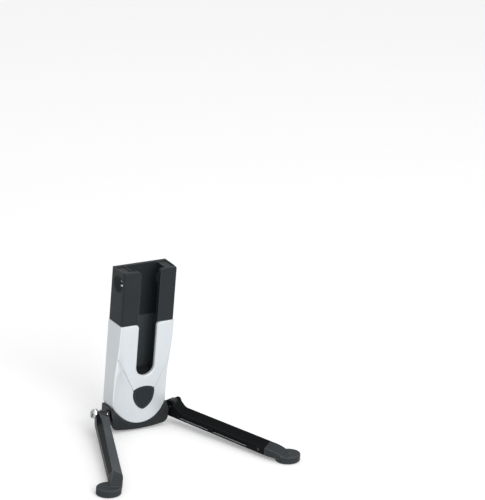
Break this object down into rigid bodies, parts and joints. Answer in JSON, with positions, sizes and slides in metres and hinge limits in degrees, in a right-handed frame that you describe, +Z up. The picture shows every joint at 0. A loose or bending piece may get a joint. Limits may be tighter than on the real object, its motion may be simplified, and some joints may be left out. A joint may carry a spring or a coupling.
{
  "type": "bicycle crank stand",
  "caption": "Pocket-size folding bicycle stand: a slotted clamp body grips the crank arm end and splayed folding legs with rubber feet prop the bike up.",
  "frame": {"origin": "on the ground plane under the middle of the body, on the underside of the heel pad", "axes": "+Z up; +Y from the open front of the crank channel, where the legs reach out, to its closed back; +X to the right seen from the front, across both legs"},
  "size_m": [0.2076, 0.1414, 0.1563],
  "materials": {
    "satin_silver": "satin silver paint on moulded plastic",
    "charcoal_nylon": "fine-grained glass-filled nylon",
    "black_nylon": "semi-matte moulded nylon",
    "liner_black": "matte",
    "rubber": "matte dark grey rubber",
    "badge_grey": "semi-matte, left bare",
    "black_aluminium": "black anodised",
    "bright_chrome": "polished",
    "zinc_steel": "zinc plated",
    "brass": "machined"
  },
  "bodies": {
    "stand_body": {"front_shell": "satin_silver", "rear_cover": "satin_silver", "clamp_block": "charcoal_nylon", "channel_liner": "liner_black", "crank_rest_pad": "rubber", "badge": "badge_grey", "hinge_base": "black_nylon", "heel_pad": "rubber", "cover_screw_low_left": "zinc_steel", "cover_screw_low_right": "zinc_steel", "cover_screw_high_left": "zinc_steel", "cover_screw_high_right": "zinc_steel", "block_screw_left": "zinc_steel", "block_screw_right": "zinc_steel", "base_screw_left": "zinc_steel", "base_screw_right": "zinc_steel", "clamp_insert_left": "brass", "clamp_insert_right": "brass"},
    "left_leg": {"leg_left": "black_aluminium", "foot_left": "rubber", "foot_rivet_left": "zinc_steel", "pivot_pin_left": "bright_chrome", "pivot_nut_left": "zinc_steel", "pivot_washer_inner_left": "zinc_steel", "pivot_washer_outer_left": "zinc_steel"},
    "right_leg": {"leg_right": "black_aluminium", "foot_right": "rubber", "foot_rivet_right": "zinc_steel", "pivot_pin_right": "bright_chrome", "pivot_nut_right": "zinc_steel", "pivot_washer_inner_right": "zinc_steel", "pivot_washer_outer_right": "zinc_steel"},
    "left_pad": {"pressure_pad_left": "rubber"},
    "right_pad": {"pressure_pad_right": "rubber"},
    "left_screw": {"clamp_screw_left": "bright_chrome"},
    "right_screw": {"clamp_screw_right": "bright_chrome"}
  },
  "joints": [
    {"name": "left_leg_fold", "type": "hinge", "parent": "stand_body", "child": "left_leg", "pos_m": [-0.037, -0.0061, 0.02], "axis": [-0.9198, 0.3923, 0], "range_deg": [0, 91]},
    {"name": "right_leg_fold", "type": "hinge", "parent": "stand_body", "child": "right_leg", "pos_m": [0.037, -0.0061, 0.02], "axis": [-0.9198, -0.3923, 0], "range_deg": [0, 91]},
    {"name": "left_pad_slide", "type": "slide", "parent": "stand_body", "child": "left_pad", "axis": [1, 0, 0], "range_m": [-0.002, 0.0015]},
    {"name": "left_screw_turn", "type": "hinge", "parent": "left_pad", "child": "left_screw", "pos_m": [-0.02, 0, 0.1433], "axis": [1, 0, 0], "range_deg": [-720, 540]},
    {"name": "right_pad_slide", "type": "slide", "parent": "stand_body", "child": "right_pad", "axis": [-1, 0, 0], "range_m": [-0.002, 0.0015]},
    {"name": "right_screw_turn", "type": "hinge", "parent": "right_pad", "child": "right_screw", "pos_m": [0.02, 0, 0.1433], "axis": [-1, 0, 0], "range_deg": [-720, 540]}
  ],
  "couplings": [
    {"joint": "left_screw_turn", "follows": "left_pad_slide", "rad_per_m": 6283.2},
    {"joint": "right_screw_turn", "follows": "right_pad_slide", "rad_per_m": 6283.2}
  ]
}
